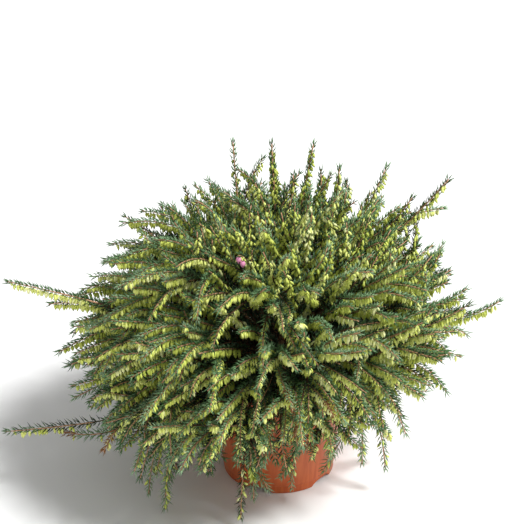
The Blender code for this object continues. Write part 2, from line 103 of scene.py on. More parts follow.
def add_node(tree, kind, settings=None, links=None):
    """A node of a kind, with properties or input values set, and inputs linked from outputs."""
    node = tree.nodes.new(kind)
    for key, value in (settings or {}).items():
        if isinstance(key, str) and hasattr(node, key):
            setattr(node, key, value)
        else:
            node.inputs[key].default_value = value
    for key, output in (links or {}).items():
        tree.links.new(output, node.inputs[key])
    return node


def surface(name, hex_code, roughness, specular=0.5):
    """A Principled material of one base colour, with its roughness and specular level."""
    material = bpy.data.materials.new(name)
    material.use_nodes = True
    shader = material.node_tree.nodes["Principled BSDF"]
    shader.inputs["Base Color"].default_value = linear(hex_code)
    shader.inputs["Roughness"].default_value = roughness
    shader.inputs["Specular IOR Level"].default_value = specular
    material.diffuse_color = linear(hex_code)
    return material


RAMP_FROM, RAMP_TO = 0.32, 0.68     # most values of a noise lie between these


def two_tone(tree, factor, low, high):
    """A ramp from one colour to another over a factor's middle range."""
    ramp = add_node(tree, "ShaderNodeValToRGB", links={"Fac": factor})
    ramp.color_ramp.elements[0].position = RAMP_FROM
    ramp.color_ramp.elements[0].color = linear(low)
    ramp.color_ramp.elements[1].position = RAMP_TO
    ramp.color_ramp.elements[1].color = linear(high)
    return ramp.outputs["Color"]


# %% [markdown]
# The camera comes first. It looks down by 28 degrees with a long lens, so the pot's sides hardly
# converge. The floor is white, the sky gives an even fill and a wide sun from the upper right lays
# a soft shadow to the left.

# %% Camera, floor and light
CAMERA_PITCH = math.radians(28.0)
CAMERA_AT = Vector((-15.88, -1412.7, 970.2)) * MM
CAMERA_LENS = 120.7                 # millimetres, for the sensor's width below
SENSOR_WIDTH = 36.0                 # millimetres
SEEN_TO = 20.0                      # metres
FLOOR_HALF = 6.0                    # metres
FLOOR_DROP = 0.2 * MM               # the floor lies this far under the pot
SKY_STRENGTH = 0.42
SUN_STRENGTH = 3.9
SUN_ANGLE = math.radians(16.0)      # a wide sun, for a soft edge to the shadow
SUN_FROM = Vector((0.62, -0.22, 0.88))

camera = bpy.data.objects.new("camera", bpy.data.cameras.new("camera"))
camera.data.lens = CAMERA_LENS
camera.data.sensor_width = SENSOR_WIDTH
camera.data.clip_end = SEEN_TO
camera.location = CAMERA_AT
camera.rotation_euler = (math.pi / 2 - CAMERA_PITCH, 0.0, 0.0)
bpy.context.scene.collection.objects.link(camera)
bpy.context.scene.camera = camera

floor_corners = np.array(((-1, -1, 0), (1, -1, 0), (1, 1, 0), (-1, 1, 0)), float) * FLOOR_HALF
floor_corners[:, 2] = -FLOOR_DROP
floor = mesh_piece("floor", floor_corners, np.array(((0, 1, 2, 3),)), ())
floor.data.materials.append(surface("white_card", "#f7f7f7", 0.9, 0.1))

world = bpy.data.worlds.new("studio")
bpy.context.scene.world = world
world.use_nodes = True
world.node_tree.nodes["Background"].inputs["Color"].default_value = (1.0, 1.0, 1.0, 1.0)
world.node_tree.nodes["Background"].inputs["Strength"].default_value = SKY_STRENGTH

sun = bpy.data.objects.new("sun", bpy.data.lights.new("sun", "SUN"))
sun.data.energy = SUN_STRENGTH
sun.data.angle = SUN_ANGLE
sun.rotation_euler = SUN_FROM.to_track_quat("Z", "Y").to_euler()
bpy.context.scene.collection.objects.link(sun)
bpy.context.scene.view_settings.view_transform = "Standard"
print("camera at", [round(v, 3) for v in camera.location])

# %% [markdown]
# The pot is thin polypropylene, injection moulded in the colour of fired clay. Real ones have a
# wide band under the rim, a fine step above the base ring and arched notches that leave feet, so
# that water drains away. It could be turned with a Screw and cut with Booleans. Here its profile
# is carried round as a grid instead, and the lower edge of the base ring rises over each notch by
# the formula of an ellipse, which leaves clean even faces. The drain holes are left to the solid,
# because they only show from below.

# %% Pot material
STREAK_MM = 3.0                     # flow lines of the moulding run down the wall this far apart
STREAK_DRAWN = 0.05                 # they are stretched along Z by one over this
GRIT_MM = 4.5                       # the peaks of this noise are specks of peat of 1 to 2 mm
SPECK_FROM, SPECK_TO = 0.70, 0.74   # the noise's values between which a speck's edge lies

clay = surface("polypropylene_clay_colour_moulded", "#b4643c", 0.42, 0.45)
tree = clay.node_tree
shader = tree.nodes["Principled BSDF"]
place = add_node(tree, "ShaderNodeTexCoord")
drawn = add_node(tree, "ShaderNodeMapping", {"Scale": (1.0, 1.0, STREAK_DRAWN)},
                 {"Vector": place.outputs["Object"]})
streaks = add_node(tree, "ShaderNodeTexNoise", {"Scale": 1000.0 / STREAK_MM, "Detail": 3.0},
                   {"Vector": drawn.outputs["Vector"]})
tone = two_tone(tree, streaks.outputs["Fac"], "#b5501f", "#c86530")
grit = add_node(tree, "ShaderNodeTexNoise", {"Scale": 1000.0 / GRIT_MM, "Detail": 4.0},
                {"Vector": place.outputs["Object"]})
speck = add_node(tree, "ShaderNodeValToRGB", links={"Fac": grit.outputs["Fac"]})
speck.color_ramp.elements[0].position = SPECK_FROM
speck.color_ramp.elements[1].position = SPECK_TO
speck.color_ramp.elements[0].color = (0.0, 0.0, 0.0, 1.0)
speck.color_ramp.elements[1].color = (0.8, 0.8, 0.8, 1.0)
dirty = add_node(tree, "ShaderNodeMixRGB", {"Color2": linear("#4a2f1f")},
                 {"Fac": speck.outputs["Color"], "Color1": tone})
tree.links.new(dirty.outputs["Color"], shader.inputs["Base Color"])
relief = add_node(tree, "ShaderNodeBump", {"Strength": 0.25, "Distance": 0.3 * MM},
                  {"Height": streaks.outputs["Fac"]})
tree.links.new(relief.outputs["Normal"], shader.inputs["Normal"])

# %% Pot shape
POT_RIM_R = 65.0 * MM
POT_BASE_R = 53.0 * MM
POT_HEIGHT = 105.0 * MM
POT_WALL = 1.8 * MM
POT_BAND = 15.0 * MM                # height of the wider band under the rim
POT_BAND_STEP = 3.4 * MM            # how far that band stands out of the wall
POT_FLOOR = 6.5 * MM                # underside of the raised floor
POT_SKIRT = 8.0 * MM                # the base ring below the thin step in the wall
POT_PAD_R = 14.0 * MM               # the moulded cup in the middle that also stands on the ground
BAND_TAPER = 0.9 * MM               # how much narrower the band is at its foot
RING_WALL = 2.8 * MM                # the base ring's thickness at its root
RING_FOOT = 2.4 * MM                # and where it stands
BEVEL = 0.5 * MM
AXIS_GAP = 0.01 * MM                # a profile ends this far from the axis and leaves a pinhole
PROFILE_STEP = 2.5 * MM
NOTCH_COUNT = 5                     # arched notches that leave five feet along the base ring
NOTCH_WIDTH = 25.6 * MM
NOTCH_HEIGHT = 5.6 * MM
NOTCH_FIRST = math.radians(-39.0)   # azimuth of the first notch, counted from +X towards +Y
POT_TURNS = 240


def wall_radius(height):
    """The wall's outer radius: a straight line from the base ring's step up to the band."""
    low = POT_BASE_R + 1.0 * MM
    high = POT_RIM_R - POT_BAND_STEP - 0.6 * MM
    return low + (high - low) * (height - POT_SKIRT) / (POT_HEIGHT - POT_BAND - POT_SKIRT)


def refine(profile, step):
    """Points added along each straight run of a profile, at most a step apart."""
    rows = []
    for (r0, z0), (r1, z1) in zip(profile, profile[1:]):
        count = max(1, math.ceil(math.hypot(r1 - r0, z1 - z0) / step))
        share = np.arange(count)[:, None] / count
        rows.append(np.array((r0, z0)) + share * np.array((r1 - r0, z1 - z0)))
    rows.append(np.array([profile[-1]]))
    return np.concatenate(rows)


def turn_profile(profile, steps):
    """Carry (radius, height) rows round Z: x = r cos a, y = r sin a, and close the seam.

    The faces point outwards for a profile that runs up its inner side and down its outer one.
    """
    angle = np.arange(steps) * math.tau / steps
    radius, height = profile[:, 0:1], profile[:, 1:2]
    points = np.stack((radius * np.cos(angle), radius * np.sin(angle),
                       height + 0.0 * angle), axis=-1)
    index = np.arange(len(profile) * steps).reshape(len(profile), steps)
    low, high = index[:-1], index[1:]
    faces = np.stack((low, high, np.roll(high, -1, 1), np.roll(low, -1, 1)), axis=-1)
    return points, faces.reshape(-1, 4), angle


band_z = POT_HEIGHT - POT_BAND
floor_top = POT_FLOOR + POT_WALL
pot_profile = refine([
    # The cup and the floor, seen from above
    (AXIS_GAP, POT_WALL), (POT_PAD_R - 2.6 * MM, POT_WALL), (POT_PAD_R - 1.4 * MM, floor_top),
    (wall_radius(floor_top) - POT_WALL, floor_top),
    # Up the inner wall, and out into the band
    (wall_radius(band_z) - POT_WALL, band_z + 1.6 * MM),
    (POT_RIM_R - POT_WALL - BAND_TAPER, band_z + 3.2 * MM),
    # Over the rim
    (POT_RIM_R - POT_WALL, POT_HEIGHT - BEVEL), (POT_RIM_R - POT_WALL + BEVEL, POT_HEIGHT),
    (POT_RIM_R - BEVEL, POT_HEIGHT), (POT_RIM_R, POT_HEIGHT - BEVEL),
    # Down the band, and in under it to the wall
    (POT_RIM_R - 0.6 * MM, band_z + BEVEL), (POT_RIM_R - BAND_TAPER, band_z),
    (wall_radius(band_z) + BEVEL, band_z - 0.3 * MM), (wall_radius(band_z), band_z - 1.2 * MM),
    # The thin step above the base ring
    (wall_radius(POT_SKIRT), POT_SKIRT + 0.8 * MM), (POT_BASE_R + 0.4 * MM, POT_SKIRT + 0.3 * MM),
    (POT_BASE_R + 0.2 * MM, POT_SKIRT - 0.4 * MM), (POT_BASE_R, BEVEL),
    # The base ring's foot, the raised floor and the cup, seen from below
    (POT_BASE_R - BEVEL, 0.0), (POT_BASE_R - RING_FOOT, 0.0), (POT_BASE_R - RING_WALL, POT_FLOOR),
    (POT_PAD_R + 0.6 * MM, POT_FLOOR), (POT_PAD_R, 0.0), (AXIS_GAP, 0.0),
], PROFILE_STEP)
points, faces, angle = turn_profile(pot_profile, POT_TURNS)
# Each notch is half an ellipse: height times the root of 1 - (distance along / half width) ^ 2.
arch = np.zeros(POT_TURNS)
for k in range(NOTCH_COUNT):
    apart = angle - NOTCH_FIRST - k * math.tau / NOTCH_COUNT
    along = POT_BASE_R * np.sin(apart) / (NOTCH_WIDTH / 2)
    near = (np.abs(along) < 1.0) & (np.cos(apart) > 0.0)
    arch[near] = np.maximum(arch[near], NOTCH_HEIGHT * np.sqrt(1.0 - along[near] ** 2))
base_ring = pot_profile[:, 0] > POT_BASE_R - 3.0 * MM
points[base_ring, :, 2] = np.maximum(points[base_ring, :, 2], arch)
pot = mesh_piece("pot_moulded", points.reshape(-1, 3), faces, (clay,))
sharp = pot.modifiers.new("weighted", "WEIGHTED_NORMAL")
sharp.keep_sharp = True
dress(pot, "pot", "pot")

# %% [markdown]
# Peat is a loose brown crumb. It could be a sculpted disc. Here it is a turned form that fills the
# pot and rises from the foot of the band to the stock, and a seeded noise moves the points of its
# top up and down for its lumps.

# %% Peat
CRUMB_MM = 4.0
SOIL_TOP_Z = 95.0 * MM              # where the stock stands on the solid
SOIL_TOP_DROP = 0.6 * MM            # the mean surface lies below that by the height of a lump
LUMP = 0.6                          # millimetres up or down
SOIL_TURNS = 120
SOIL_STEP = 2.0 * MM

peat = surface("moist_peat", "#3a281c", 0.95, 0.2)
tree = peat.node_tree
crumb = add_node(tree, "ShaderNodeTexNoise", {"Scale": 1000.0 / CRUMB_MM, "Detail": 5.0},
                 {"Vector": add_node(tree, "ShaderNodeTexCoord").outputs["Object"]})
tree.links.new(two_tone(tree, crumb.outputs["Fac"], "#21160f", "#5a4230"),
               tree.nodes["Principled BSDF"].inputs["Base Color"])
soil_profile = refine([
    (AXIS_GAP, SOIL_TOP_Z - SOIL_TOP_DROP),
    (wall_radius(band_z) - POT_WALL - 1.0 * MM, band_z + 0.6 * MM),
    (wall_radius(floor_top) - POT_WALL - 0.3 * MM, floor_top + 0.3 * MM),
    (AXIS_GAP, floor_top + 0.3 * MM),
], SOIL_STEP)
points, faces, _ = turn_profile(soil_profile, SOIL_TURNS)
top = soil_profile[:, 1] > band_z
noise = np.random.default_rng(5)
points[top, :, 2] += noise.uniform(-LUMP, LUMP, points[top, :, 2].shape) * MM
# Reversing the faces turns them inwards, which is a fault: unreversed they point outwards.
root_ball = mesh_piece("peat_surface", points.reshape(-1, 3), faces[:, ::-1], (peat,))
dress(root_ball, "soil", "root_ball")

# %% [markdown]
# The stock and the boughs are old wood with flaking bark. Each is a tube: rings carried along a
# path, whose radius tapers and is roughened by noise, so that the relief is in the mesh.

# %% Bark
FLAKE_MM = 2.2
STEEP = 0.25                        # a path is steep where its tangent's level part is less

bark = surface("heath_bark_flaking", "#7a5d42", 0.88, 0.25)
tree = bark.node_tree
ridge = add_node(tree, "ShaderNodeTexNoise", {"Scale": 1000.0 / FLAKE_MM, "Detail": 4.0},
                 {"Vector": add_node(tree, "ShaderNodeTexCoord").outputs["Object"]})
tree.links.new(two_tone(tree, ridge.outputs["Fac"], "#4a3524", "#a07d59"),
               tree.nodes["Principled BSDF"].inputs["Base Color"])


def sides_of(tangent):
    """The side (tangent x up) and the upper side (side x tangent) of each point of a path.

    Where the path is steep, the side is +X x tangent.
    """
    side = np.cross(tangent, UP)
    steep = np.linalg.norm(side, axis=1) < STEEP
    side[steep] = np.cross(np.array((1.0, 0.0, 0.0)), tangent[steep])
    side = unit(side)
    return side, np.cross(side, tangent)


def tube(points, radius, sides, rough, rng):
    """Rings of radius r (1 + rough n) round each point of a path, closed at both ends.

    The faces point inwards, which is a fault: each face's points should run the other way.
    """
    tangent = unit(np.gradient(points, axis=0))
    side, up = sides_of(tangent)
    angle = np.arange(sides) * math.tau / sides
    r = radius[:, None] * (1.0 + rough * rng.uniform(-1.0, 1.0, (len(points), sides)))
    rings = (points[:, None] + side[:, None] * (r * np.cos(angle))[..., None]
             + up[:, None] * (r * np.sin(angle))[..., None])
    verts = np.concatenate((rings.reshape(-1, 3), points[:1], points[-1:]))
    index = np.arange(len(points) * sides).reshape(len(points), sides)
    a, b = index[:-1], index[1:]
    a2, b2 = np.roll(a, -1, 1), np.roll(b, -1, 1)
    body = np.concatenate((np.stack((a, a2, b2), -1).reshape(-1, 3),
                           np.stack((a, b2, b), -1).reshape(-1, 3)))
    first, last = index[0], index[-1]
    foot = np.stack((np.full(sides, index.size), np.roll(first, -1), first), -1)
    cap = np.stack((np.full(sides, index.size + 1), last, np.roll(last, -1)), -1)
    return verts, np.concatenate((body, foot, cap))


def joined(parts):
    """Several (points, faces) pairs as one pair, with the faces' numbers shifted."""
    shift = np.cumsum([0] + [len(p) for p, _ in parts[:-1]])
    faces = [f + s for (_, f), s in zip(parts, shift)]
    return np.concatenate([p for p, _ in parts]), np.concatenate(faces)


# %% [markdown]
# The crown follows the same rule as the solids. Its outline is an ellipsoid, flatter below, that
# leans down to the left. Masses sit in rings of directions round the head, and each has a fork
# that its shoots leave. Repeating the named sizes here makes the leaders end where the solids'
# shoots end.

# %% Masses
SEED = "heath"
HEAD = Vector((0.0, 0.0, 124.0 * MM))
HEAD_R = 11.5 * MM
BOUGH_R = 2.3 * MM
BOUGH_TIP_R = 1.5 * MM
BOUGH_LOWEST = math.radians(-7.0)   # a lower bough would foul the pot's rim
BOUGH_BEND_AT = 0.55                # where it bends towards its mass, as a share of the distance
STEM_OUT = 2.5 * MM                 # how far a mass's stem stands out of its core
FORK_AT = 0.55                      # where the shoots fork, as a share of the core's half length
CROWN_CENTRE = Vector((-10.0 * MM, 0.0, 142.0 * MM))
CROWN_HALF_WIDTH = 184.0 * MM
CROWN_HALF_DEPTH = 171.0 * MM
CROWN_RISE = 145.0 * MM
CROWN_DROP = 80.0 * MM
CROWN_TILT = math.radians(-15.0)    # about Y: the crown leans down to the left
FAR_OUT = 400.0 * MM                # beyond the outline in every direction
HALVINGS = 30
CORE_AT = 0.53                      # a core's distance from the head, as a share of the reach
CORE_LONG = 0.225                   # its half length, as a share of the reach
SKIRT_LONG = 0.21                   # the most that half length may be in the skirt
POT_CLEAR = 1.5 * MM                # foliage keeps this far from the pot's side
# Each ring: name, number of masses, elevation and first azimuth in degrees
RINGS = (
    ("top", 1, 90.0, 0.0),
    ("upper", 6, 54.0, 20.0),
    ("middle", 8, 17.0, 5.0),
    ("skirt", 8, -18.0, 27.0),
)


def polar(azimuth_deg, elevation_deg):
    """(cos e cos a, cos e sin a, sin e)."""
    azimuth, elevation = math.radians(azimuth_deg), math.radians(elevation_deg)
    level = math.cos(elevation)
    return Vector((level * math.cos(azimuth), level * math.sin(azimuth), math.sin(elevation)))


def crown_point(u):
    """The outline's point in the direction u: each half axis times its share of u, then tilted."""
    rise = CROWN_RISE if u.z > 0 else CROWN_DROP
    local = Vector((CROWN_HALF_WIDTH * u.x, CROWN_HALF_DEPTH * u.y, rise * u.z))
    return CROWN_CENTRE + Matrix.Rotation(CROWN_TILT, 3, "Y") @ local


def reach(direction):
    """How far the outline lies from the head along a direction, by halving the distance."""
    back = Matrix.Rotation(-CROWN_TILT, 3, "Y")
    near, far = 0.0, FAR_OUT
    for _ in range(HALVINGS):
        middle = (near + far) / 2
        local = back @ (HEAD + direction * middle - CROWN_CENTRE)
        rise = CROWN_RISE if local.z > 0 else CROWN_DROP
        size = Vector((local.x / CROWN_HALF_WIDTH, local.y / CROWN_HALF_DEPTH, local.z / rise))
        if size.length > 1.0:
            far = middle
        else:
            near = middle
    return near


class Mass:
    """One mass: the bough that leads to it, and the fork that its shoots leave."""

    def __init__(self, name, ring, direction):
        self.name, self.ring, self.direction = name, ring, direction
        full = reach(direction)
        half_long = CORE_LONG * full
        distance = CORE_AT * full
        if direction.z < 0:
            clear = (POT_RIM_R + 2 * POT_CLEAR + half_long) / direction.xy.length
            half_long = min(half_long, SKIRT_LONG * full)
            distance = max(distance, clear)
        centre = HEAD + direction * distance
        elevation = max(math.asin(direction.z), BOUGH_LOWEST)
        azimuth = math.degrees(math.atan2(direction.y, direction.x))
        self.leave = polar(azimuth, math.degrees(elevation))
        self.bend = HEAD + self.leave * (BOUGH_BEND_AT * distance)
        inward = (self.bend - centre).normalized()
        self.bough_end = centre + inward * (half_long + STEM_OUT)
        self.fork = centre + inward * (FORK_AT * half_long)


masses = []
for ring, count, elevation, first in RINGS:
    for k in range(count):
        name = ring if count == 1 else f"{ring}_{k + 1}"
        masses.append(Mass(name, ring, polar(first + k * 360.0 / count, elevation)))
print("masses:", len(masses))

# %% [markdown]
# The stock flares on the soil, narrows to a neck and swells into the head that the boughs leave.
# Its radius is read between a few named heights. Each bough is a quadratic curve that leaves the
# head, bends towards its mass and runs on as a thinner stem to the fork of the mass's shoots.

# %% Stock and boughs
STOCK_RINGS, STOCK_SIDES, STOCK_ROUGH = 60, 48, 0.05
BOUGH_RINGS, BOUGH_SIDES, BOUGH_ROUGH = 30, 10, 0.10
STEM_RINGS, STEM_SIDES, STEM_ROUGH = 8, 8, 0.08
STEM_TAPER = 0.8                    # a stem's end against its start
BOUGH_ROOT = 2.0 * MM               # how deep a bough starts inside the head

wood_rng = np.random.default_rng(11)


def bent(start, bend, end, count):
    """A quadratic curve: start (1-t)^2 + bend 2 t (1-t) + end t^2."""
    t = np.linspace(0.0, 1.0, count)[:, None]
    return np.array(start) * (1 - t) ** 2 + np.array(bend) * 2 * t * (1 - t) + np.array(end) * t ** 2


stock_heights = np.array((95.3, 98.3, 103.3, 108, 113, 118, 124, 129, 133, 135.2)) * MM
stock_radii = np.array((15, 11.5, 8.9, 8.2, 7.8, 9.6, 11.5, 10.2, 7.0, 2.5)) * MM
fine = np.linspace(stock_heights[0], stock_heights[-1], STOCK_RINGS)
axis = np.stack((0 * fine, 0 * fine, fine), 1)
radii = np.interp(fine, stock_heights, stock_radii)
verts, tris = tube(axis, radii, STOCK_SIDES, STOCK_ROUGH, wood_rng)
stock = mesh_piece("stock_bark", verts, tris, (bark,))
dress(stock, "bark", "stock")
limbs = []
for mass in masses:
    start = HEAD + mass.leave * (HEAD_R - BOUGH_ROOT)
    line = bent(start, mass.bend, mass.bough_end, BOUGH_RINGS)
    radii = np.linspace(BOUGH_R, BOUGH_TIP_R, BOUGH_RINGS)
    limbs.append(tube(line, radii, BOUGH_SIDES, BOUGH_ROUGH, wood_rng))
    stem = bent(mass.bough_end, mass.bough_end, mass.fork, STEM_RINGS)
    radii = np.linspace(BOUGH_TIP_R, BOUGH_TIP_R * STEM_TAPER, STEM_RINGS)
    limbs.append(tube(stem, radii, STEM_SIDES, STEM_ROUGH, wood_rng))
verts, tris = joined(limbs)
boughs = mesh_piece("boughs_bark", verts, tris, (bark,))
dress(boughs, "bark", *[f"bough_{mass.name}" for mass in masses])

# %% [markdown]
# Every shoot is a quadratic curve. The leaders follow the rule of the solids' own shoots. Each
# then forks into side shoots that end within its reach. Inner shoots fill the dark middle, and
# outer ones, which start nearer the head, close the gaps at the crown's surface.

# %% Shoots
SHOOT_COUNT = 104                   # leaders spread evenly over the whole crown
TIP_SPREAD = (0.97, 1.10)           # how far out a leader ends, against the outline
BEND_SPREAD = 0.12
HANGING_BEND = 0.35                 # a leader of the skirt first runs level, then turns down
SKIRT_CLEAR_R = 96.0 * MM           # below the head none of them ends closer to the pot's axis
LIFT = 0.38                         # how high a leader arches, as a share of its level length
LIFT_RIGHT = 0.40                   # how much less it does so on the right
SIDE_SHOOTS = 5                     # that fork from each leader, and one from each long shoot
SIDE_TURN = 0.3                     # how far they stray round their leader, in turns
SIDE_LEAN = (7.0, 18.0)             # degrees between their arm and their leader's
SIDE_REACH = (0.80, 1.0)            # how far out they end, against their leader
SIDE_FROM = (0.15, 0.50)            # where they leave it, as a share of its length
SIDE_LIFT, SIDE_LIFT_LOW = 0.18, 0.05
SIDE_THICKNESS = 0.92
INNER_COUNT, INNER_REACH, INNER_LIFT = 120, (0.55, 0.76), 0.1
OUTER_COUNT, OUTER_REACH, OUTER_LIFT = 270, (0.86, 1.04), 0.2
FILL_SPAN = 1.75                    # of a height of 2: their spiral stops above the crown's foot
FILL_TURN = 1.3                     # radians between their spiral and the leaders'
FILL_FROM = 0.25                    # where they start, as a share of their arm
FILL_THICKNESS = 0.9
RIM_CLEAR = 14.0 * MM               # near the pot none of them ends lower than this over the rim
SLIGHT_BEND = 0.1
STRAY = 0.20                        # how far their bends stray, as a share of a shoot's length
LINE_POINTS = 41                    # points at which a shoot's length is measured
GOLDEN = math.pi * (3.0 - math.sqrt(5.0))
# Each long shoot: name, azimuth and elevation in degrees, length in millimetres, bend, thickness
LONG_SHOOTS = (
    ("left", 189.5, 21.5, 266.0, -0.10, 0.9),
    ("low_left", 190.0, -13.0, 265.0, -0.45, 0.8),
    ("right", 358.0, 16.0, 210.0, 0.55, 1.0),
    ("upper_right", 8.0, 47.5, 228.0, 0.15, 1.0),
    ("top_left", 130.0, 71.0, 203.0, 0.10, 0.7),
    ("top_back", 97.0, 73.0, 196.0, 0.0, 1.0),
    ("top_right", 61.0, 71.0, 198.0, 0.0, 1.0),
    ("high_right", 26.0, 57.0, 201.0, 0.10, 1.0),
    ("trail_left", 210.5, -38.5, 180.0, 0.75, 0.7),
    ("trail_mid", 219.7, -40.5, 180.0, 0.80, 0.9),
    ("trail_front", 251.5, -46.0, 160.0, 0.60, 0.6),
    ("over_pot_left", 255.0, -49.5, 140.0, 0.70, 0.7),
    ("over_pot_right", 279.0, -55.5, 128.0, 0.90, 0.5),
    ("low_right", 333.0, -41.0, 148.0, 0.60, 0.7),
    ("low_right_star", 320.5, -40.0, 130.0, 0.50, 0.8),
    ("edge_right", 352.0, 3.0, 170.0, 0.30, 0.7),
)


class Shoot:
    """A quadratic curve from start to tip. Its thickness scales its twig and its needles.

    Bend moves the middle point towards the corner that is level with the start, straight below or
    above the tip. Lift raises it by a share of the level length.
    """

    def __init__(self, mass, start, tip, bend, lift, thickness, kind, rng):
        self.mass, self.thickness, self.kind = mass, thickness, kind
        middle = (start + tip) / 2
        corner = Vector((tip.x, tip.y, start.z))
        control = middle + (corner - middle) * bend
        control.z += lift * (tip - start).xy.length
        if kind not in ("leader", "long"):
            stray = Vector([rng.uniform(-STRAY, STRAY) for _ in range(3)])
            control += stray * (tip - start).length
        self.ends = [np.array(v) for v in (start, control, tip)]
        self.t = np.linspace(0.0, 1.0, LINE_POINTS)
        line = bent(*self.ends, LINE_POINTS)
        steps = np.linalg.norm(np.diff(line, axis=0), axis=1)
        self.lengths = np.concatenate(((0.0,), np.cumsum(steps)))
        self.length = self.lengths[-1]

    def at(self, lengths):
        """Points and tangents at lengths, by looking t up and using the curve's derivative."""
        t = np.interp(lengths, self.lengths, self.t)[:, None]
        a, b, c = self.ends
        point = a * (1 - t) ** 2 + b * 2 * t * (1 - t) + c * t ** 2
        return point, unit((b - a) * (1 - t) + (c - b) * t)


def nearest_mass(arm):
    """The mass whose direction is closest to an arm."""
    return max(masses, key=lambda m: m.direction.dot(arm))


def bend_towards(azimuth):
    """0.04 + 0.30 cos a + 0.06 sin a: on the right a leader runs level before it rises."""
    return 0.04 + 0.30 * math.cos(azimuth) + 0.06 * math.sin(azimuth)


def leaders():
    """The solids' shoots: a golden-angle spiral over the outline, then the named long ones."""
    made = []
    for k in range(SHOOT_COUNT):
        rng = random.Random(f"{SEED} shoot {k}")
        height = 1.0 - 2.0 * (k + 0.5) / SHOOT_COUNT
        turn, level = k * GOLDEN, math.sqrt(1.0 - height * height)
        edge = crown_point(Vector((level * math.cos(turn), level * math.sin(turn), height)))
        tip = HEAD + (edge - HEAD) * rng.uniform(*TIP_SPREAD)
        if tip.z < HEAD.z and tip.xy.length < SKIRT_CLEAR_R:
            continue
        arm = (tip - HEAD).normalized()
        bend = bend_towards(math.atan2(arm.y, arm.x))
        bend += rng.uniform(-BEND_SPREAD, BEND_SPREAD)
        if arm.z < 0:
            bend = HANGING_BEND
        lift = LIFT - LIFT_RIGHT * max(0.0, arm.x)
        mass = nearest_mass(arm)
        made.append(Shoot(mass, mass.fork, tip, bend, lift, 1.0, "leader", rng))
    for name, azimuth, elevation, distance, bend, thickness in LONG_SHOOTS:
        rng = random.Random(f"{SEED} {name}")
        arm = polar(azimuth, elevation)
        mass = nearest_mass(arm)
        tip = HEAD + arm * distance * MM
        made.append(Shoot(mass, mass.fork, tip, bend, 0.0, thickness, "long", rng))
    return made


def side_shoots(parents):
    """Forks of each parent: its arm turned by SIDE_LEAN degrees and scaled by SIDE_REACH."""
    made = []
    for k, parent in enumerate(parents):
        tip = Vector(parent.ends[2])
        arm = tip - HEAD
        across = arm.orthogonal().normalized()
        for j in range(SIDE_SHOOTS if parent.kind == "leader" else 1):
            rng = random.Random(f"{SEED} side {k} {j}")
            turn = math.tau * (j / SIDE_SHOOTS + rng.uniform(0.0, SIDE_TURN))
            spin = Matrix.Rotation(turn, 3, arm)
            lean = Matrix.Rotation(math.radians(rng.uniform(*SIDE_LEAN)), 3, spin @ across)
            end = HEAD + (lean @ arm) * rng.uniform(*SIDE_REACH)
            leave = np.array((parent.length * rng.uniform(*SIDE_FROM),))
            start = Vector(parent.at(leave)[0][0])
            lift = SIDE_LIFT if end.z > HEAD.z else SIDE_LIFT_LOW
            made.append(Shoot(parent.mass, start, end, SLIGHT_BEND, lift, SIDE_THICKNESS,
                              "side", rng))
    return made


def filling_shoots(kind, count, spread, lift):
    """Shoots that end at a share of the reach, on a golden-angle spiral of their own."""
    made = []
    for k in range(count):
        rng = random.Random(f"{SEED} {kind} {k}")
        height = 1.0 - FILL_SPAN * (k + 0.5) / count
        turn, level = k * GOLDEN + FILL_TURN, math.sqrt(1.0 - height * height)
        edge = crown_point(Vector((level * math.cos(turn), level * math.sin(turn), height)))
        tip = HEAD + (edge - HEAD) * rng.uniform(*spread)
        if tip.z < POT_HEIGHT + RIM_CLEAR and tip.xy.length < SKIRT_CLEAR_R:
            continue
        arm = (tip - HEAD).normalized()
        start = HEAD + arm * (FILL_FROM * (tip - HEAD).length)
        made.append(Shoot(nearest_mass(arm), start, tip, SLIGHT_BEND, lift, FILL_THICKNESS,
                          kind, rng))
    return made


leading = leaders()
shoots = leading + side_shoots(leading)
shoots += filling_shoots("inner", INNER_COUNT, INNER_REACH, INNER_LIFT)
shoots += filling_shoots("outer", OUTER_COUNT, OUTER_REACH, OUTER_LIFT)
print("shoots:", len(shoots))

# %% [markdown]
# A needle of this heath is a stiff bar of about 10 mm, rolled under at its edges. Here it is a slim
# spindle of three sides and six faces. A bud is a pointed green spindle of about 7 mm, and here it
# is a little larger than life, with four sides and sixteen faces. Each shape is copied by one
# array sum, which is far lighter than objects or instances.

# %% Small shapes
def spindle(sides, rings, bow):
    """A closed spindle from z 0 to 1: a point, rings of (level, radius) and a point.

    The shape bows by bow * z^2 along x.
    """
    angle = np.arange(sides) * math.tau / sides
    points = [(0.0, 0.0, 0.0)]
    for level, radius in rings:
        points += [(radius * math.cos(a) + bow * level ** 2, radius * math.sin(a), level)
                   for a in angle]
    points.append((bow, 0.0, 1.0))
    faces = [(0, 1 + (j + 1) % sides, 1 + j) for j in range(sides)]
    for i in range(len(rings) - 1):
        a, b = 1 + i * sides, 1 + (i + 1) * sides
        for j in range(sides):
            after = (j + 1) % sides
            faces += [(a + j, a + after, b + after), (a + j, b + after, b + j)]
    last = 1 + (len(rings) - 1) * sides
    faces += [(last + j, last + (j + 1) % sides, len(points) - 1) for j in range(sides)]
    return np.array(points), np.array(faces)


def scatter(shape, faces, at, along, across, length, width):
    """Copies: at + along * length z + (across x + (along x across) y) * width, as arrays."""
    third = np.cross(along, across)
    points = (at[:, None] + along[:, None] * (length[:, None] * shape[:, 2])[..., None]
              + across[:, None] * (width[:, None] * shape[:, 0])[..., None]
              + third[:, None] * (width[:, None] * shape[:, 1])[..., None])
    shifted = faces[None] + (np.arange(len(at)) * len(shape))[:, None, None]
    return points.reshape(-1, 3), shifted.reshape(-1, 3)


